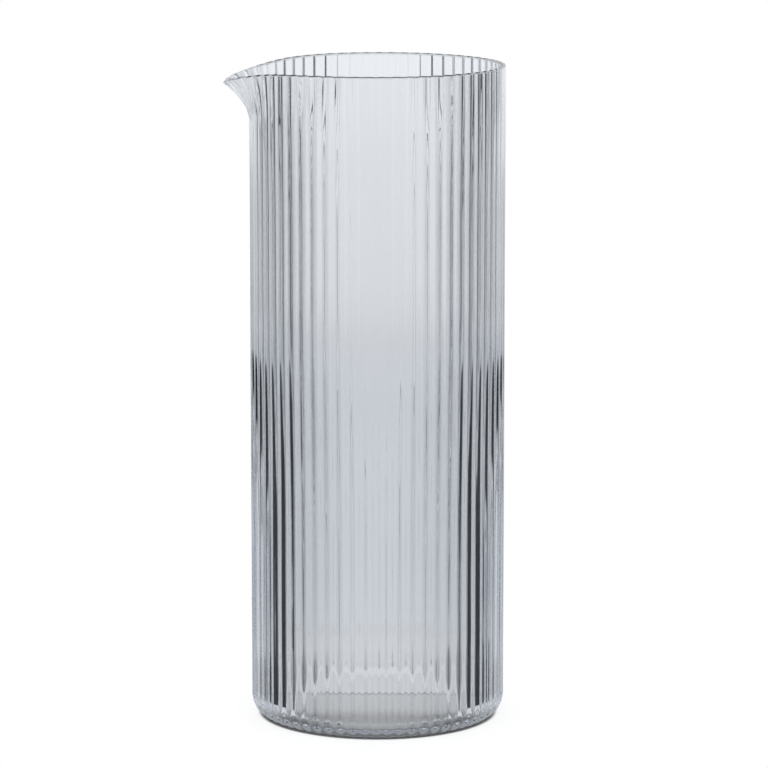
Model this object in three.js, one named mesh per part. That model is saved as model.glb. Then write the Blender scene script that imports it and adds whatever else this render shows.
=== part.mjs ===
// A ribbed glass carafe: a straight ribbed tube with a thick floor, a rounded heel
// and a lip pulled out of the rim. Millimetres, +Z up, origin on the axis under the
// base, lip along -X. The glass is one piece in life, so its three zones meet on
// flat level planes.

import * as THREE from 'three';
import { mergeVertices } from 'three/addons/utils/BufferGeometryUtils.js';

// Body
const HEIGHT = 250; // table to rim, away from the lip
const DIAMETER = 96.8; // over the crests of the ribs
const WALL_FOOT = 3.2; // glass behind the valley between two ribs, just above the floor
const WALL_RIM = 1.4; // the same at the rim; the wall thins evenly between them

// Ribs: one wave round the wall
const RIB_COUNT = 60;
const RIB_DEPTH = 0.95;
const RIB_STEPS = 4; // facets across one rib
const RIM_FADE = 2.5; // height in which the ribs shrink towards the rim
const RIM_RIBS = 0.75; // share of the rib depth that is left at the rim
const BORE_RIB_DEPTH = 0.6; // of the ribs that show inside the thin upper wall
const BORE_RIB_FROM = 55; // height at which these begin
const BORE_RIB_TO = 200; // height from which these are full

// Base
const FLOOR = 4; // glass under the drink
const HEEL_RUN = 6.5; // outside, of the rounding inwards from the wall
const HEEL_HEIGHT = 8.5; // outside, of the rounding up the wall
const CORNER_RADIUS = 4; // inside, between wall and floor
const BASE_COLLAR = 2; // straight wall that belongs to the base

// Pouring lip
const LIP_HEIGHT = 21; // of the flare, below the rim
const LIP_REACH = 9.7; // of the tip beyond the rim
const LIP_DIP = 6.1; // of the tip below the rim
const LIP_REACH_ANGLE = 18.7; // degrees from the tip within which most of the reach lies
const LIP_DIP_ANGLE = 23.4; // degrees from the tip within which most of the dip lies
const LIP_POINT = 1.35; // 2 makes the dip round at the tip, 1 makes it pointed
const LIP_FLARE = 1.85; // 1 makes the flare straight, more makes it curl out near the rim
const LIP_COLLAR = 3; // straight wall that belongs to the rim zone
const RIM_CROWN = 0.8; // height of the rounded edge

// Facets
const HEEL_STEPS = 4;
const CORNER_STEPS = 2;
const BORE_STEPS = 4;
const FLARE_STEPS = 4;
const RIM_STEPS = 4;

// Sizes that follow from the ones above
const crestRadius = DIAMETER / 2;
const cornerTop = FLOOR + CORNER_RADIUS;
const baseTop = Math.max(HEEL_HEIGHT, cornerTop) + BASE_COLLAR;
const flareBottom = HEIGHT - LIP_HEIGHT;
const lipBottom = flareBottom - LIP_COLLAR;
const rimShoulder = HEIGHT - RIM_CROWN;
const heelCentre = new THREE.Vector2(crestRadius - HEEL_RUN, HEEL_HEIGHT);

// Radius of the plain inside, behind the valleys.
function boreAt(z) {
  const climbed = THREE.MathUtils.clamp((z - cornerTop) / (rimShoulder - cornerTop), 0, 1);
  return crestRadius - RIB_DEPTH - THREE.MathUtils.lerp(WALL_FOOT, WALL_RIM, climbed);
}

// 1 on the crest of a rib, 0 in the valley beside it.
function crestShare(point) {
  return (1 + Math.cos(Math.atan2(point.y, point.x) * RIB_COUNT)) / 2;
}

// Moves a point of the plain wall to the ribbed one: outside, the valleys go in; inside
// the thin upper wall, the glass behind a crest goes out. The rim lies between the two.
function reed(point) {
  const radius = Math.hypot(point.x, point.y);
  const bore = boreAt(point.z);
  const across = THREE.MathUtils.clamp((radius - bore) / (crestRadius - bore), 0, 1);
  const full = THREE.MathUtils.smoothstep(rimShoulder - point.z, 0, RIM_FADE);
  const depth = RIB_DEPTH * THREE.MathUtils.lerp(RIM_RIBS, 1, full);
  const boreDepth =
    BORE_RIB_DEPTH * THREE.MathUtils.smoothstep(point.z, BORE_RIB_FROM, BORE_RIB_TO);
  const crest = crestShare(point);
  const shift = (1 - across) * boreDepth * crest - across * depth * (1 - crest);
  const stretch = (radius + shift) / radius;
  return new THREE.Vector3(point.x * stretch, point.y * stretch, point.z);
}

// The same round the heel, where the ribs turn with it and shrink towards the underside.
function reedHeel(point) {
  const radius = Math.hypot(point.x, point.y);
  const out = Math.max(0, radius - heelCentre.x);
  const inward = new THREE.Vector2(-out, heelCentre.y - point.z).normalize();
  const drop = RIB_DEPTH * (1 - crestShare(point)) * Math.sqrt(out / HEEL_RUN);
  const stretch = radius > 0 ? (radius + inward.x * drop) / radius : 1;
  return new THREE.Vector3(point.x * stretch, point.y * stretch, point.z + inward.y * drop);
}

// Draws the rim out and down towards -X. The rounded edge moves as a whole.
function pullLip(point) {
  const angle = THREE.MathUtils.radToDeg(Math.abs(Math.atan2(point.y, -point.x)));
  const climbed = (point.z - flareBottom) / (rimShoulder - flareBottom);
  const rise = THREE.MathUtils.clamp(climbed, 0, 1);
  const radius = Math.hypot(point.x, point.y);
  const push = LIP_REACH * Math.exp(-((angle / LIP_REACH_ANGLE) ** 2)) * rise ** LIP_FLARE;
  const dip = LIP_DIP * Math.exp(-((angle / LIP_DIP_ANGLE) ** LIP_POINT)) * rise;
  const stretch = (radius + push) / radius;
  return new THREE.Vector3(point.x * stretch, point.y * stretch, point.z - dip);
}

// Turns a profile of (radius, height) points about Z, then shapes every point of it.
function turnGlass(profile, shape) {
  const turned = new THREE.LatheGeometry(profile, RIB_COUNT * RIB_STEPS);
  turned.rotateX(Math.PI / 2);
  turned.deleteAttribute('normal');
  turned.deleteAttribute('uv');
  const geometry = mergeVertices(turned);
  const position = geometry.getAttribute('position');
  const point = new THREE.Vector3();
  for (let i = 0; i < position.count; i += 1) {
    point.fromBufferAttribute(position, i);
    const shaped = shape(point);
    position.setXYZ(i, shaped.x, shaped.y, shaped.z);
  }
  geometry.computeVertexNormals();
  return geometry;
}

// Clear glass with a faint grey-blue cast.
function glass() {
  return new THREE.MeshStandardMaterial({
    color: 0xdde3ea,
    roughness: 0.04,
    metalness: 0,
    transparent: true,
    opacity: 0.35,
  });
}

function piece(name, profile, shape) {
  const mesh = new THREE.Mesh(turnGlass(profile, shape), glass());
  mesh.name = name;
  return mesh;
}

// Part of an ellipse of profile points.
function arc(radius, height, wide, tall, from, to, steps) {
  const curve = new THREE.EllipseCurve(radius, height, wide, tall, from, to, to < from);
  return curve.getPoints(steps);
}

// Points of the inside between two heights, the first one left out.
function boreRows(from, to, steps) {
  return Array.from({ length: steps }, (_, i) => {
    const z = THREE.MathUtils.lerp(from, to, (i + 1) / steps);
    return new THREE.Vector2(boreAt(z), z);
  });
}

// Thick floor and rounded heel, from the axis under the base round to the axis inside.
function makeBase() {
  const corner = boreAt(cornerTop) - CORNER_RADIUS;
  const profile = [
    new THREE.Vector2(0, 0),
    ...arc(heelCentre.x, heelCentre.y, HEEL_RUN, HEEL_HEIGHT, -Math.PI / 2, 0, HEEL_STEPS),
    new THREE.Vector2(crestRadius, baseTop),
    new THREE.Vector2(boreAt(baseTop), baseTop),
    ...arc(corner, cornerTop, CORNER_RADIUS, CORNER_RADIUS, 0, -Math.PI / 2, CORNER_STEPS),
    new THREE.Vector2(0, FLOOR),
  ];
  const shape = (point) => {
    const isUnder = point.z < FLOOR / 2;
    const isOutside = Math.hypot(point.x, point.y) > boreAt(point.z) + WALL_RIM / 2;
    if (point.z < heelCentre.y && (isUnder || isOutside)) {
      return reedHeel(point);
    }
    return isOutside ? reed(point) : point.clone();
  };
  return piece('base', profile, shape);
}

// Straight ribbed tube.
function makeRibbedWall() {
  const profile = [
    new THREE.Vector2(boreAt(baseTop), baseTop),
    new THREE.Vector2(crestRadius, baseTop),
    new THREE.Vector2(crestRadius, lipBottom),
    new THREE.Vector2(boreAt(lipBottom), lipBottom),
    ...boreRows(lipBottom, baseTop, BORE_STEPS),
  ];
  return piece('ribbed_wall', profile, reed);
}

// Rim zone with the flare, rounded over at the top.
function makePouringLip() {
  const flareRows = Array.from({ length: FLARE_STEPS }, (_, i) =>
    THREE.MathUtils.lerp(flareBottom, rimShoulder, i / FLARE_STEPS),
  );
  const rimHalf = (crestRadius - boreAt(HEIGHT)) / 2;
  const profile = [
    new THREE.Vector2(boreAt(lipBottom), lipBottom),
    new THREE.Vector2(crestRadius, lipBottom),
    ...flareRows.map((z) => new THREE.Vector2(crestRadius, z)),
    ...arc(crestRadius - rimHalf, rimShoulder, rimHalf, RIM_CROWN, 0, Math.PI, RIM_STEPS),
    ...boreRows(rimShoulder, flareBottom, FLARE_STEPS),
    new THREE.Vector2(boreAt(lipBottom), lipBottom),
  ];
  return piece('pouring_lip', profile, (point) => pullLip(reed(point)));
}

const carafe = new THREE.Group();
carafe.add(makeBase(), makeRibbedWall(), makePouringLip());

export default carafe;
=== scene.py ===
import math

import bmesh
import bpy
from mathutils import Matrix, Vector


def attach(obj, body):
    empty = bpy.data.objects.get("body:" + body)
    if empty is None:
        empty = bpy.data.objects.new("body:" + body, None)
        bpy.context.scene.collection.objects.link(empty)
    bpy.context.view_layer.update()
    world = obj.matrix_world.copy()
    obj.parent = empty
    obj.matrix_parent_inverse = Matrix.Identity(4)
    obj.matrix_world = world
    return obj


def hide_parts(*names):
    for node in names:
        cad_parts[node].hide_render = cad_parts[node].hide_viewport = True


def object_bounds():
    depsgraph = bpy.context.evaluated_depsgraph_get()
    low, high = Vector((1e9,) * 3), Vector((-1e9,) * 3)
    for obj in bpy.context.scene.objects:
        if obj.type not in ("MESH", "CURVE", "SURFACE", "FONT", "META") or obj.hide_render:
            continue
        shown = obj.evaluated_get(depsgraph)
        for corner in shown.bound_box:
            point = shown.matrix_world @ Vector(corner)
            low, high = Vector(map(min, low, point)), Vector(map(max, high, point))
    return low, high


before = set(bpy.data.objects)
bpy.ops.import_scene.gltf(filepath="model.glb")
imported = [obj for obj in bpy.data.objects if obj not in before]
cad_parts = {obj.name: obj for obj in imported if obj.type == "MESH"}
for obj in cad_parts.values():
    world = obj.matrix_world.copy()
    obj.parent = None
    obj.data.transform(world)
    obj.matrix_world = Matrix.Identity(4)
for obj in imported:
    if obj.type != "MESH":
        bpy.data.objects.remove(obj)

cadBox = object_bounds()
crestRadius = (cadBox[1].y - cadBox[0].y) / 2
rimHeight = cadBox[1].z
print("frame: crest radius", round(crestRadius, 5), "rim height", round(rimHeight, 5))

# The carafe is one continuous piece of glass. Metres, lip along -X.
carafeGlass = {
    "footWall": 0.0031,         # behind a valley between two ribs, low down
    "midWall": 0.00178,         # the same from half height up
    "rimWall": 0.0014,          # the same at the rim
    "midThins": (0.06, 0.165),  # heights between which the wall goes from one to the next
    "rimThins": (0.19, 0.235),
    "ribCount": 60,
    "ribDepth": 0.00095,
    "boreRibs": 0.00047,        # depth to which the thinner upper wall shows the ribs inside too
    "boreRibsRise": (0.065, 0.16),  # heights between which they grow
    "stepsPerRib": 16,          # faces across one rib
    "valleySharp": 0.16,        # at the rim the valleys are narrower than the ribs
    "valleySharpens": (0.212, 0.243),  # heights between which they get so
    "rimDrop": 0.0001,          # of the rim inside the crests
    "rimCrown": 0.0008,         # height of the rounded edge inside
    "rimEdge": 0.0003,          # the same outside
    "floor": 0.004,             # glass under the drink
    "heelRun": 0.0065,          # of the rounded heel, inwards from the wall
    "heelHeight": 0.0076,       # of it, up the wall
    "cornerRadius": 0.004,      # inside, between wall and floor
    "lipHeight": 0.021,         # of the flare, below the rim
    "lipReach": 0.0097,         # of the tip beyond the rim
    "lipDip": 0.0061,           # of the tip below the rim
    "lipReachAngle": 18.7,      # degrees from the tip within which most of the reach lies
    "lipDipAngle": 23.4,        # the same for the dip
    "lipPoint": 1.35,           # 2 makes the dip round at the tip, 1 makes it pointed
    "lipFlare": 1.85,           # 1 makes the flare straight, more makes it curl out near the rim
    "waviness": 0.00007,        # of the drawn glass, inside and out
    "waveLength": 0.04,         # along the wall
    "waveWidth": 0.012,         # round the wall
    "waveRise": 0.03,           # height from which the wall has all of it
    "seed": 7.3,
    "wallRows": 20,
    "boreRows": 20,
    "flareRows": 14,
    "heelRows": 9,
    "cornerRows": 6,
    "rimRows": 8,
    "edgeRows": 3,              # of these, the ones of the rounding outside
    "holdRun": 0.0008,          # to the extra ring beside a bend, which keeps the bend short
    "rimHold": 0.0002,          # the same beside the rim
    "weld": 0.000001,           # distance within which points become one
}

glassFinish = {
    "rippleScale": 130.0,       # ripples to the metre
    "rippleHeight": 0.000005,
    "rippleDetail": 1.0,
    "hazeScale": 60.0,
    "hazeDetail": 3.0,
    "hazeClouds": (0.4, 0.8),   # values of the cloud at the clearest and at the dullest spots
    "haze": (0.0, 0.03),        # roughness of these spots
    "refraction": 1.51,
    "tint": (0.6, 0.65, 0.725),
    "tintDensity": 20.0,
}


def arcSpots(centre, wide, tall, fromAngle, toAngle, rows):
    turn = (toAngle - fromAngle) / rows
    angles = [fromAngle + turn * i for i in range(rows + 1)]
    return [(centre[0] + wide * math.cos(a), centre[1] + tall * math.sin(a)) for a in angles]


def lineSpots(start, end, rows):
    return [(start[0] + (end[0] - start[0]) * i / rows, start[1] + (end[1] - start[1]) * i / rows)
            for i in range(1, rows)]


def softRise(value, low, high):
    share = min(max((value - low) / (high - low), 0.0), 1.0)
    return share * share * (3 - 2 * share)


def glassProfile(sizes):
    # (radius, height) from the axis under the base, up outside, over the rim and down to the axis inside
    heel = (crestRadius - sizes["heelRun"], sizes["heelHeight"])
    bend = sizes["cornerRadius"]
    cornerTop = sizes["floor"] + bend
    shoulder = rimHeight - sizes["rimCrown"]
    rimOut = crestRadius - sizes["rimDrop"]

    def boreRibs(height):
        return sizes["boreRibs"] * softRise(height, *sizes["boreRibsRise"])

    def boreSpot(height):
        # inside, behind a crest
        thinned = softRise(height, *sizes["midThins"])
        atRim = softRise(height, *sizes["rimThins"])
        wall = sizes["footWall"] + (sizes["midWall"] - sizes["footWall"]) * thinned
        wall += (sizes["rimWall"] - sizes["midWall"]) * atRim
        return (crestRadius - sizes["ribDepth"] - wall + boreRibs(height), height)

    rimBore = boreSpot(shoulder)[0]
    corner = (boreSpot(cornerTop)[0] - bend, cornerTop)
    flareBottom = rimHeight - sizes["lipHeight"]
    quarter = math.pi / 2

    outside = [(0.0, 0.0), (heel[0] / 2, 0.0)]
    outside += arcSpots(heel, sizes["heelRun"], sizes["heelHeight"], -quarter, 0.0, sizes["heelRows"])
    outside += [(crestRadius, heel[1] + sizes["holdRun"])]
    outside += lineSpots(outside[-1], (crestRadius, flareBottom), sizes["wallRows"])
    outside += [(crestRadius, flareBottom)]
    outside += lineSpots(outside[-1], (rimOut, shoulder), sizes["flareRows"])
    outside += [(rimOut, shoulder - sizes["rimHold"])]
    edge = sizes["rimEdge"]
    rimTop = rimOut - edge
    crownRows = sizes["rimRows"] - sizes["edgeRows"]
    rim = arcSpots((rimTop, rimHeight - edge), edge, edge, 0.0, quarter, sizes["edgeRows"])
    rim += arcSpots((rimTop, shoulder), rimTop - rimBore, sizes["rimCrown"], quarter, math.pi, crownRows)[1:]
    inside = [boreSpot(shoulder - sizes["rimHold"])]
    inside += [boreSpot(z) for _, z in lineSpots((0.0, shoulder), (0.0, flareBottom), sizes["flareRows"])]
    inside += [boreSpot(flareBottom)]
    inside += [boreSpot(z) for _, z in lineSpots((0.0, flareBottom), (0.0, cornerTop), sizes["boreRows"])]
    inside += [boreSpot(cornerTop + sizes["holdRun"])]
    inside += arcSpots(corner, bend, bend, 0.0, -quarter, sizes["cornerRows"])
    inside += [(corner[0] / 2, sizes["floor"]), (0.0, sizes["floor"])]

    # how far each point goes with the ribs (inward, upward) and with the waviness of its own face,
    # and how narrow the valleys are there
    ribs = []
    sharp = []
    for i, (radius, height) in enumerate(outside + rim + inside):
        inShare = boreRibs(height) / sizes["ribDepth"]
        outer = 1 - min(max((i - len(outside)) / sizes["rimRows"], 0.0), 1.0)
        if i >= len(outside) + sizes["rimRows"]:
            ribs.append((-inShare, -softRise(height, sizes["floor"], sizes["waveRise"]), 0.0))
        elif height < heel[1]:
            share = max(0.0, (radius - heel[0]) / sizes["heelRun"])
            toCentre = Vector((heel[0] - max(radius, heel[0]), heel[1] - height)).normalized()
            ribs.append((toCentre.x * math.sqrt(share), 0.0, toCentre.y * math.sqrt(share)))
        else:
            wave = softRise(height, heel[1], sizes["waveRise"]) * outer
            ribs.append((-outer - inShare * (1 - outer), wave, 0.0))
        sharp.append(sizes["valleySharp"] * outer * softRise(height, *sizes["valleySharpens"]))
    return {"spots": outside + rim + inside, "ribs": ribs, "sharp": sharp,
            "rimCentre": (rimBore + rimOut) / 2, "shoulder": shoulder, "flareBottom": flareBottom}


def reedTree(sizes, drawn, glass):
    # sweeps the drawn profile round Z, cuts the ribs into it and pulls the lip out of the rim
    tree = bpy.data.node_groups.new("reededGlass", "GeometryNodeTree")
    values = {}

    def newInput(name, value):
        kind = "NodeSocketInt" if isinstance(value, int) else "NodeSocketFloat"
        kind = "NodeSocketMaterial" if isinstance(value, bpy.types.Material) else kind
        made = tree.interface.new_socket(name, in_out="INPUT", socket_type=kind)
        values[made.identifier] = value

    def node(kind, **settings):
        made = tree.nodes.new(kind)
        for key, value in settings.items():
            setattr(made, key, value)
        return made

    def feed(socket, value):
        if isinstance(value, bpy.types.NodeSocket):
            tree.links.new(value, socket)
        else:
            socket.default_value = value

    def calc(operation, *terms):
        made = node("ShaderNodeMath", operation=operation)
        for socket, value in zip(made.inputs, terms):
            feed(socket, value)
        return made.outputs[0]

    def combine(x, y, z):
        made = node("ShaderNodeCombineXYZ")
        for socket, value in zip(made.inputs, (x, y, z)):
            feed(socket, value)
        return made.outputs[0]

    def split(vector):
        made = node("ShaderNodeSeparateXYZ")
        feed(made.inputs[0], vector)
        return made.outputs

    tree.interface.new_socket("Geometry", in_out="INPUT", socket_type="NodeSocketGeometry")
    newInput("Rib Count", sizes["ribCount"])
    newInput("Steps per Rib", sizes["stepsPerRib"])
    newInput("Rib Depth", sizes["ribDepth"])
    newInput("Rim Centre", drawn["rimCentre"])
    newInput("Flare Bottom", drawn["flareBottom"])
    newInput("Flare Top", drawn["shoulder"])
    newInput("Lip Reach", sizes["lipReach"])
    newInput("Lip Reach Angle", sizes["lipReachAngle"])
    newInput("Lip Dip", sizes["lipDip"])
    newInput("Lip Dip Angle", sizes["lipDipAngle"])
    newInput("Lip Point", sizes["lipPoint"])
    newInput("Lip Flare", sizes["lipFlare"])
    newInput("Waviness", sizes["waviness"])
    newInput("Wave Length", sizes["waveLength"])
    newInput("Wave Width", sizes["waveWidth"])
    newInput("Seed", sizes["seed"])
    newInput("Glass", glass)
    tree.interface.new_socket("Geometry", in_out="OUTPUT", socket_type="NodeSocketGeometry")
    given = node("NodeGroupInput").outputs

    # profile curve, with its own (radius, height) kept
    profile = node("GeometryNodeMeshToCurve")
    feed(profile.inputs["Mesh"], given["Geometry"])
    keepSpot = node("GeometryNodeCaptureAttribute", domain="POINT")
    keepSpot.capture_items.new("VECTOR", "Spot")
    feed(keepSpot.inputs["Geometry"], profile.outputs[0])
    feed(keepSpot.inputs["Spot"], node("GeometryNodeInputPosition").outputs[0])
    steps = calc("MULTIPLY", given["Rib Count"], given["Steps per Rib"])
    ring = node("GeometryNodeCurvePrimitiveCircle", mode="RADIUS")
    feed(ring.inputs["Resolution"], steps)
    keepStep = node("GeometryNodeCaptureAttribute", domain="POINT")
    keepStep.capture_items.new("FLOAT", "Step")
    feed(keepStep.inputs["Geometry"], ring.outputs[0])
    feed(keepStep.inputs["Step"], node("GeometryNodeInputIndex").outputs[0])
    sweep = node("GeometryNodeCurveToMesh")
    feed(sweep.inputs["Curve"], keepStep.outputs["Geometry"])
    feed(sweep.inputs["Profile Curve"], keepSpot.outputs["Geometry"])
    spot = split(keepSpot.outputs["Spot"])
    ribField = node("GeometryNodeInputNamedAttribute", data_type="FLOAT_VECTOR")
    ribField.inputs["Name"].default_value = "ribs"
    ribs = split(ribField.outputs["Attribute"])

    # the ribs are one wave round the wall, with a crest at +X; drop is how far a point lies below a crest
    angle = calc("MULTIPLY", calc("DIVIDE", keepStep.outputs["Step"], steps), 2 * math.pi)
    phase = calc("MULTIPLY", angle, given["Rib Count"])
    sharpField = node("GeometryNodeInputNamedAttribute", data_type="FLOAT")
    sharpField.inputs["Name"].default_value = "sharp"
    flank = calc("POWER", calc("SINE", phase), 2.0)
    widen = calc("MULTIPLY", calc("MULTIPLY", sharpField.outputs["Attribute"], 2.0), flank)
    crestShare = calc("ADD", calc("COSINE", phase), widen)
    drop = calc("MULTIPLY", calc("MULTIPLY", given["Rib Depth"], 0.5), calc("SUBTRACT", 1.0, crestShare))

    # waviness of the drawn glass, another one for each face of the wall
    roundWay = calc("DIVIDE", given["Rim Centre"], given["Wave Width"])
    upWay = calc("DIVIDE", spot["Z"], given["Wave Length"])
    face = calc("MULTIPLY", calc("SIGN", ribs["Y"]), given["Seed"])
    noise = node("ShaderNodeTexNoise", noise_dimensions="4D")
    feed(noise.inputs["Vector"], combine(calc("MULTIPLY", roundWay, calc("COSINE", angle)),
                                         calc("MULTIPLY", roundWay, calc("SINE", angle)), upWay))
    feed(noise.inputs["W"], face)
    feed(noise.inputs["Scale"], 1.0)
    feed(noise.inputs["Detail"], 1.0)
    sway = calc("MULTIPLY", calc("SUBTRACT", noise.outputs[0], 0.5), calc("MULTIPLY", given["Waviness"], 2.0))
    swayed = calc("MULTIPLY", sway, calc("ABSOLUTE", ribs["Y"]))
    radius = calc("ADD", calc("ADD", spot["X"], calc("MULTIPLY", ribs["X"], drop)), swayed)
    height = calc("ADD", spot["Z"], calc("MULTIPLY", ribs["Z"], drop))

    # the lip: its middle line leans out and sinks, and the glass keeps its thickness across that line
    climb = calc("SUBTRACT", given["Flare Top"], given["Flare Bottom"])
    rise = calc("DIVIDE", calc("SUBTRACT", spot["Z"], given["Flare Bottom"]), climb)
    rise = calc("MINIMUM", calc("MAXIMUM", rise, 0.0), 1.0)
    fromLip = calc("WRAP", calc("SUBTRACT", angle, math.pi), math.pi, -math.pi)
    off = calc("DEGREES", calc("ABSOLUTE", fromLip))
    reachAngle = calc("POWER", calc("DIVIDE", off, given["Lip Reach Angle"]), 2.0)
    dipAngle = calc("POWER", calc("DIVIDE", off, given["Lip Dip Angle"]), given["Lip Point"])
    reach = calc("MULTIPLY", given["Lip Reach"], calc("EXPONENT", calc("MULTIPLY", reachAngle, -1.0)))
    dip = calc("MULTIPLY", given["Lip Dip"], calc("EXPONENT", calc("MULTIPLY", dipAngle, -1.0)))
    push = calc("MULTIPLY", reach, calc("POWER", rise, given["Lip Flare"]))
    sink = calc("MULTIPLY", dip, rise)
    lean = calc("MULTIPLY", calc("MULTIPLY", reach, given["Lip Flare"]),
                calc("POWER", rise, calc("SUBTRACT", given["Lip Flare"], 1.0)))
    stand = calc("SUBTRACT", climb, dip)
    length = calc("SQRT", calc("ADD", calc("MULTIPLY", lean, lean), calc("MULTIPLY", stand, stand)))
    leanShare = calc("DIVIDE", lean, length)
    standShare = calc("DIVIDE", stand, length)
    middle = calc("ADD", given["Flare Bottom"], calc("MULTIPLY", rise, climb))
    outBy = calc("SUBTRACT", radius, given["Rim Centre"])
    upBy = calc("SUBTRACT", height, middle)
    lipRadius = calc("ADD", calc("ADD", given["Rim Centre"], push),
                     calc("ADD", calc("MULTIPLY", outBy, standShare), calc("MULTIPLY", upBy, leanShare)))
    lipHeight = calc("ADD", calc("SUBTRACT", middle, sink),
                     calc("SUBTRACT", calc("MULTIPLY", upBy, standShare), calc("MULTIPLY", outBy, leanShare)))

    moved = node("GeometryNodeSetPosition")
    feed(moved.inputs["Geometry"], sweep.outputs[0])
    feed(moved.inputs["Position"], combine(calc("MULTIPLY", lipRadius, calc("COSINE", angle)),
                                           calc("MULTIPLY", lipRadius, calc("SINE", angle)), lipHeight))
    welded = node("GeometryNodeMergeByDistance")
    feed(welded.inputs["Geometry"], moved.outputs[0])
    feed(welded.inputs["Distance"], sizes["weld"])
    smooth = node("GeometryNodeSetShadeSmooth")
    feed(smooth.inputs["Geometry"], welded.outputs[0])
    real = node("GeometryNodeRealizeInstances")
    feed(real.inputs["Geometry"], smooth.outputs[0])
    coated = node("GeometryNodeSetMaterial")
    feed(coated.inputs["Geometry"], real.outputs[0])
    feed(coated.inputs["Material"], given["Glass"])
    feed(node("NodeGroupOutput").inputs["Geometry"], coated.outputs[0])
    return tree, values


def clearGlass(finish):
    glass = bpy.data.materials.new("clearGlass")
    glass.use_nodes = True
    tree = glass.node_tree
    shader = tree.nodes["Principled BSDF"]
    shader.inputs["Base Color"].default_value = (1.0, 1.0, 1.0, 1.0)
    shader.inputs["IOR"].default_value = finish["refraction"]
    shader.inputs["Transmission Weight"].default_value = 1.0

    def cloud(scale, detail):
        place = tree.nodes.new("ShaderNodeTexCoord")
        made = tree.nodes.new("ShaderNodeTexNoise")
        made.inputs["Scale"].default_value = scale
        made.inputs["Detail"].default_value = detail
        tree.links.new(place.outputs["Object"], made.inputs["Vector"])
        return made.outputs[0]

    # faint haze from handling, and the fine ripple of glass that cooled against the mould
    haze = tree.nodes.new("ShaderNodeMapRange")
    spread = {"From Min": finish["hazeClouds"][0], "From Max": finish["hazeClouds"][1],
              "To Min": finish["haze"][0], "To Max": finish["haze"][1]}
    for name, value in spread.items():
        haze.inputs[name].default_value = value
    tree.links.new(cloud(finish["hazeScale"], finish["hazeDetail"]), haze.inputs["Value"])
    tree.links.new(haze.outputs[0], shader.inputs["Roughness"])
    ripple = tree.nodes.new("ShaderNodeBump")
    ripple.inputs["Strength"].default_value = 1.0
    ripple.inputs["Distance"].default_value = finish["rippleHeight"]
    tree.links.new(cloud(finish["rippleScale"], finish["rippleDetail"]), ripple.inputs["Height"])
    tree.links.new(ripple.outputs[0], shader.inputs["Normal"])
    absorb = tree.nodes.new("ShaderNodeVolumeAbsorption")
    absorb.inputs["Color"].default_value = (*finish["tint"], 1.0)
    absorb.inputs["Density"].default_value = finish["tintDensity"]
    tree.links.new(absorb.outputs[0], tree.nodes["Material Output"].inputs["Volume"])
    return glass


def makeCarafe(sizes, finish):
    drawn = glassProfile(sizes)
    mesh = bpy.data.meshes.new("carafeProfile")
    spots = [(radius, 0.0, height) for radius, height in drawn["spots"]]
    mesh.from_pydata(spots, [(i, i + 1) for i in range(len(spots) - 1)], [])
    field = mesh.attributes.new("ribs", "FLOAT_VECTOR", "POINT")
    field.data.foreach_set("vector", [part for step in drawn["ribs"] for part in step])
    field = mesh.attributes.new("sharp", "FLOAT", "POINT")
    field.data.foreach_set("value", drawn["sharp"])
    carafe = bpy.data.objects.new("carafe", mesh)
    bpy.context.scene.collection.objects.link(carafe)
    tree, values = reedTree(sizes, drawn, clearGlass(finish))
    turner = carafe.modifiers.new("reededGlass", "NODES")
    turner.node_group = tree
    for identifier, value in values.items():
        turner[identifier] = value
    graph = bpy.context.evaluated_depsgraph_get()
    turned = bpy.data.meshes.new_from_object(carafe.evaluated_get(graph))
    carafe.modifiers.clear()
    carafe.data = turned
    turned.name = "carafe"
    work = bmesh.new()
    work.from_mesh(turned)
    volume = work.calc_volume(signed=True)
    openEdges = sum(1 for edge in work.edges if len(edge.link_faces) != 2)
    if volume < 0:
        bmesh.ops.reverse_faces(work, faces=work.faces)
        work.to_mesh(turned)
    work.free()
    print("carafe:", len(turned.polygons), "faces, volume", round(abs(volume) * 1e6, 1), "ml of glass,",
          openEdges, "open edges")
    return carafe


carafe = makeCarafe(carafeGlass, glassFinish)
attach(carafe, "root")
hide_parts("base", "ribbed_wall", "pouring_lip")

# Camera, at the photograph's viewing angle
cameraView = {
    "distance": 33.0,           # in crest radii
    "height": 8.423,
    "tilt": 9.939,              # degrees below level
    "turn": 0.65,               # degrees round the carafe
    "focalPixels": 4252.5,      # on a picture of the next width
    "pictureWidth": 768,
    "axisPixel": 377.5,         # where the carafe's axis stands in the picture
    "sensorWidth": 36.0,
}


def makeCamera(view):
    lens = bpy.data.cameras.new("camera")
    lens.sensor_width = view["sensorWidth"]
    lens.lens = view["focalPixels"] / view["pictureWidth"] * view["sensorWidth"]
    camera = bpy.data.objects.new("camera", lens)
    bpy.context.scene.collection.objects.link(camera)
    tilt = math.radians(view["tilt"])
    turn = math.radians(view["turn"])
    distance = view["distance"] * crestRadius
    asidePixels = view["pictureWidth"] / 2 - view["axisPixel"]
    aside = asidePixels / view["focalPixels"] * distance / math.cos(tilt)
    camera.location = (aside * math.cos(turn) + distance * math.sin(turn),
                       aside * math.sin(turn) - distance * math.cos(turn),
                       view["height"] * crestRadius)
    camera.rotation_euler = (math.pi / 2 - tilt, 0.0, turn)
    bpy.context.scene.camera = camera
    print("camera:", round(distance, 3), "m in front of the carafe")


def softStep(tree, value, low, high, top=1.0):
    made = tree.nodes.new("ShaderNodeMapRange")
    made.interpolation_type = "SMOOTHSTEP"
    made.inputs["From Min"].default_value = low
    made.inputs["From Max"].default_value = high
    made.inputs["To Max"].default_value = top
    tree.links.new(value, made.inputs["Value"])
    return made.outputs[0]


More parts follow.
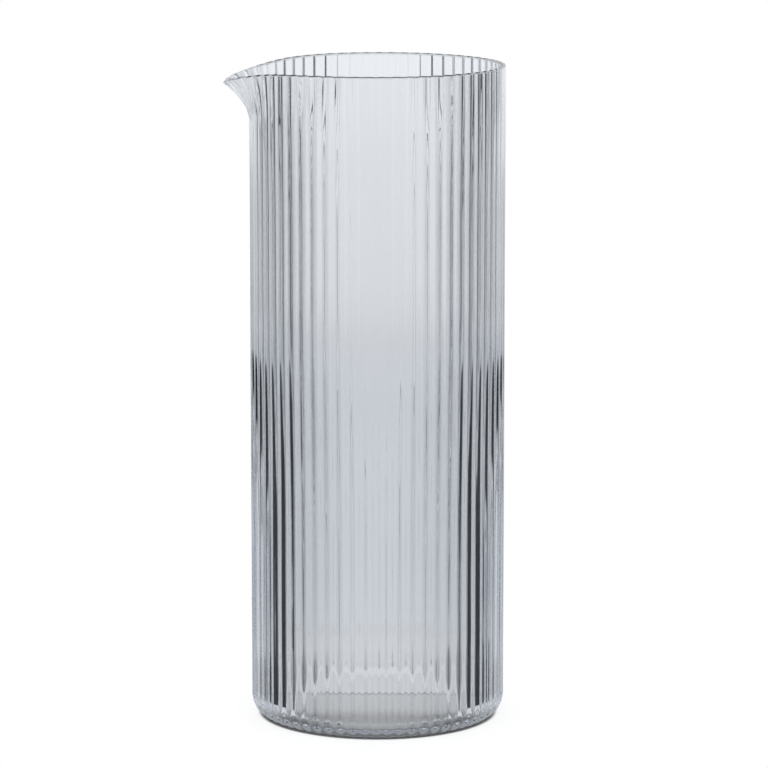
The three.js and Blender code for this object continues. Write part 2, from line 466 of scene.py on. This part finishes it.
def shadeRamp(tree, place, reach, stops):
    # shades that follow a length or an angle within its reach
    lowest, highest = reach
    share = tree.nodes.new("ShaderNodeMapRange")
    share.inputs["From Min"].default_value = lowest
    share.inputs["From Max"].default_value = highest
    tree.links.new(place, share.inputs["Value"])
    ramp = tree.nodes.new("ShaderNodeValToRGB")
    marks = ramp.color_ramp.elements
    while len(marks) < len(stops):
        marks.new(1.0)
    for mark, (stop, shade) in zip(marks, stops):
        mark.position = (stop - lowest) / (highest - lowest)
        mark.color = (*shade, 1.0)
    tree.links.new(share.outputs[0], ramp.inputs[0])
    return ramp.outputs["Color"]


def mixShaders(tree, share, first, second):
    made = tree.nodes.new("ShaderNodeMixShader")
    for socket, source in zip(made.inputs, (share, first, second)):
        tree.links.new(source, socket)
    return made.outputs[0]


# Table: pale to the camera, with a painted contact shadow in a thin dark line where the heel stands on it,
# and painted shade under the glass
tableTop = {
    "back": 0.131,
    "aside": 0.06,
    "front": 0.4,
    "paper": 0.3,               # of the light on it that it gives back
    "roughness": 0.9,
    "glow": 0.8,
    "paintedContactShadow": (0.0445, 0.0465),  # radii between which the painted contact shadow, a dark line under the heel, ends
    "paintedShadeFade": 0.9,           # share of the crest radius from which the painted shades under the glass fade out
    "paintedShadeReach": (-0.05, 0.05),
    # a faint blue in the painted shade
    "paintedShadeTint": (0.97, 1.0, 1.04),
    # painted shade seen through the glass, mostly darker towards the front, with painted dark bands; from the
    # front to the back
    "paintedShadesUnder": [(-0.05, 0.42), (-0.04, 0.34), (-0.037, 0.27), (-0.031, 0.18), (-0.027, 0.13),
                    (-0.023, 0.12), (-0.0185, 0.2), (-0.014, 0.31), (-0.01, 0.37), (0.0108, 0.41),
                    (0.0116, 0.2), (0.0134, 0.2), (0.0142, 0.53), (0.05, 0.56)],
}


def tablePaper(top):
    paper = bpy.data.materials.new("tablePaper")
    paper.use_nodes = True
    tree = paper.node_tree
    shader = tree.nodes["Principled BSDF"]
    shader.inputs["Base Color"].default_value = (top["paper"], top["paper"], top["paper"], 1.0)
    shader.inputs["Roughness"].default_value = top["roughness"]
    shader.inputs["Specular IOR Level"].default_value = 0.0
    place = tree.nodes.new("ShaderNodeTexCoord")
    away = tree.nodes.new("ShaderNodeVectorMath")
    away.operation = "LENGTH"
    tree.links.new(place.outputs["Object"], away.inputs[0])
    path = tree.nodes.new("ShaderNodeLightPath")

    # the camera sees it glow white, but the glow fades out in a thin ring under the heel: a painted contact
    # shadow
    glow = tree.nodes.new("ShaderNodeEmission")
    strength = softStep(tree, away.outputs["Value"], *top["paintedContactShadow"], top["glow"])
    tree.links.new(strength, glow.inputs["Strength"])
    both = tree.nodes.new("ShaderNodeAddShader")
    tree.links.new(shader.outputs[0], both.inputs[0])
    tree.links.new(glow.outputs[0], both.inputs[1])
    seen = mixShaders(tree, path.outputs["Is Camera Ray"], shader.outputs[0], both.outputs[0])

    # the glass shows the room in place of the table, and under itself an emission of painted shade with
    # painted dark bands
    split = tree.nodes.new("ShaderNodeSeparateXYZ")
    tree.links.new(place.outputs["Object"], split.inputs[0])
    shades = [(stop, [s * part for part in top["paintedShadeTint"]]) for stop, s in top["paintedShadesUnder"]]
    shade = tree.nodes.new("ShaderNodeEmission")
    tree.links.new(shadeRamp(tree, split.outputs["Y"], top["paintedShadeReach"], shades), shade.inputs["Color"])
    clear = tree.nodes.new("ShaderNodeBsdfTransparent")
    # the painted shade covers the table under the glass and fades out towards the crest radius
    under = softStep(tree, away.outputs["Value"], crestRadius, crestRadius * top["paintedShadeFade"])
    below = mixShaders(tree, under, clear.outputs[0], shade.outputs[0])
    through = tree.nodes.new("ShaderNodeMath")
    through.operation = "MAXIMUM"
    tree.links.new(path.outputs["Is Transmission Ray"], through.inputs[0])
    tree.links.new(path.outputs["Is Glossy Ray"], through.inputs[1])
    shown = mixShaders(tree, through.outputs[0], seen, below)
    tree.links.new(shown, tree.nodes["Material Output"].inputs["Surface"])
    return paper


def makeTable(top):
    back, aside, front = top["back"], top["aside"], top["front"]
    mesh = bpy.data.meshes.new("table")
    mesh.from_pydata([(-aside, -front, 0.0), (aside, -front, 0.0), (aside, back, 0.0), (-aside, back, 0.0)],
                     [], [(0, 1, 2, 3)])
    table = bpy.data.objects.new("table", mesh)
    bpy.context.scene.collection.objects.link(table)
    mesh.materials.append(tablePaper(top))
    print("table:", round((back + front) * 1000), "mm deep")


# Room: white to the camera; to the glass a pale room, whose darker sides draw the lines of the ribs.
# Angles are degrees above level, or degrees round from the back.
roomShades = {
    "backReach": (-80.0, 40.0),
    "back": [(-60.0, (0.02, 0.02, 0.02)), (-46.0, (0.05, 0.05, 0.06)), (-36.0, (0.60, 0.62, 0.64)),
             (-22.0, (0.70, 0.72, 0.74)), (-13.6, (0.668, 0.692, 0.715)), (-12.8, (0.640, 0.672, 0.716)),
             (-11.5, (0.622, 0.652, 0.702)), (-10.1, (0.662, 0.689, 0.722)), (-8.8, (0.780, 0.801, 0.833)),
             (-6.2, (0.889, 0.915, 0.956)), (2.0, (0.96, 0.97, 0.99))],
    "reach": (-40.0, 40.0),
    "side": [(-30.0, (0.70, 0.72, 0.75)), (-18.0, (0.60, 0.62, 0.66)), (-16.0, (0.004, 0.005, 0.008)),
             (-5.95, (0.004, 0.005, 0.008)), (-5.75, (0.7, 0.72, 0.75)), (4.0, (0.85, 0.86, 0.88)),
             (7.0, (0.004, 0.005, 0.008)), (17.0, (0.004, 0.005, 0.008)), (20.0, (0.60, 0.62, 0.66))],
    "front": [(-30.0, (0.7, 0.72, 0.75)), (-10.0, (0.58, 0.60, 0.63)), (2.0, (0.9, 0.91, 0.93))],
    "behind": [(-30.0, (0.7, 0.72, 0.75)), (-9.8, (0.58, 0.60, 0.63)), (-8.8, (0.10, 0.11, 0.12)),
               (-5.2, (0.08, 0.09, 0.10)), (-3.5, (0.50, 0.52, 0.55)), (2.0, (0.9, 0.91, 0.93))],
    "edge": (-13.27, 0.09, 0.22),  # of the table at the back: angle, half width and strength of its line
    "edgeShade": (0.1, 0.1, 0.1),
    "turnReach": (0.0, 180.0),
    # share of the sides at each angle round, and how much further in they reach at each height
    "sideShare": [(0.0, 0.0), (28.0, 0.0), (40.0, 0.3), (49.0, 0.42), (54.0, 0.95), (58.0, 1.0)],
    "shiftReach": (-20.0, 20.0),
    "sideShift": [(-40.0, 16.0), (-13.8, 16.0), (-13.4, -5.0), (-13.0, -4.0), (-12.7, 2.0), (-11.4, 4.0),
                  (-11.0, -9.0), (-9.9, -9.0), (-9.3, 0.0), (-7.2, 0.0), (-6.3, 7.0), (40.0, 7.0)],
    "sideEnd": (78.0, 90.0),
    "behindFrom": (106.0, 120.0),
}


def makeRoom(shades):
    room = bpy.data.worlds.new("room")
    bpy.context.scene.world = room
    room.use_nodes = True
    tree = room.node_tree

    def calc(operation, *terms):
        made = tree.nodes.new("ShaderNodeMath")
        made.operation = operation
        for socket, value in zip(made.inputs, terms):
            if isinstance(value, bpy.types.NodeSocket):
                tree.links.new(value, socket)
            else:
                socket.default_value = value
        return made.outputs[0]

    def blend(share, first, second):
        made = tree.nodes.new("ShaderNodeMix")
        made.data_type = "RGBA"
        tree.links.new(share, made.inputs["Factor"])
        tree.links.new(first, made.inputs["A"])
        if isinstance(second, tuple):
            made.inputs["B"].default_value = (*second, 1.0)
        else:
            tree.links.new(second, made.inputs["B"])
        return made.outputs["Result"]

    place = tree.nodes.new("ShaderNodeTexCoord")
    split = tree.nodes.new("ShaderNodeSeparateXYZ")
    tree.links.new(place.outputs["Generated"], split.inputs[0])
    elevation = calc("DEGREES", calc("ARCSINE", split.outputs["Z"]))
    turn = calc("DEGREES", calc("ARCTAN2", calc("ABSOLUTE", split.outputs["X"]), split.outputs["Y"]))
    back = shadeRamp(tree, elevation, shades["backReach"], shades["back"])
    side = shadeRamp(tree, elevation, shades["reach"], shades["side"])
    front = shadeRamp(tree, elevation, shades["reach"], shades["front"])
    behind = shadeRamp(tree, elevation, shades["reach"], shades["behind"])

    # the line of the table's edge, on the back
    edgeAngle, edgeHalf, edgeStrength = shades["edge"]
    upBack = calc("DEGREES", calc("ARCTAN2", split.outputs["Z"], split.outputs["Y"]))
    offEdge = calc("DIVIDE", calc("ABSOLUTE", calc("SUBTRACT", upBack, edgeAngle)), edgeHalf)
    onEdge = calc("MULTIPLY", calc("MAXIMUM", calc("SUBTRACT", 1.0, offEdge), 0.0), edgeStrength)
    back = blend(onEdge, back, shades["edgeShade"])

    # back, sides, front and the part behind the camera, one after the other
    least, most = shades["shiftReach"]
    shifts = [(stop, ((s - least) / (most - least),) * 3) for stop, s in shades["sideShift"]]
    shiftRamp = shadeRamp(tree, elevation, shades["reach"], shifts)
    shift = calc("MULTIPLY_ADD", shiftRamp, most - least, least)
    sideShares = [(stop, (s, s, s)) for stop, s in shades["sideShare"]]
    sideShare = shadeRamp(tree, calc("ADD", turn, shift), shades["turnReach"], sideShares)
    endTurn = calc("ADD", turn, calc("MINIMUM", shift, 0.0))
    shade = blend(sideShare, back, side)
    shade = blend(softStep(tree, endTurn, *shades["sideEnd"]), shade, front)
    shade = blend(softStep(tree, turn, *shades["behindFrom"]), shade, behind)
    inner = tree.nodes["Background"]
    tree.links.new(shade, inner.inputs["Color"])
    outer = tree.nodes.new("ShaderNodeBackground")
    outer.inputs["Color"].default_value = (1.0, 1.0, 1.0, 1.0)
    path = tree.nodes.new("ShaderNodeLightPath")
    seen = mixShaders(tree, path.outputs["Is Camera Ray"], inner.outputs[0], outer.outputs[0])
    tree.links.new(seen, tree.nodes["World Output"].inputs["Surface"])
    print("room: white to the camera, pale with darker sides to the glass")


makeCamera(cameraView)
makeTable(tableTop)
makeRoom(roomShades)
scene = bpy.context.scene
scene.view_settings.view_transform = "Standard"
scene.cycles.max_bounces = 32
scene.cycles.transmission_bounces = 32
scene.cycles.glossy_bounces = 16
scene.cycles.transparent_max_bounces = 16
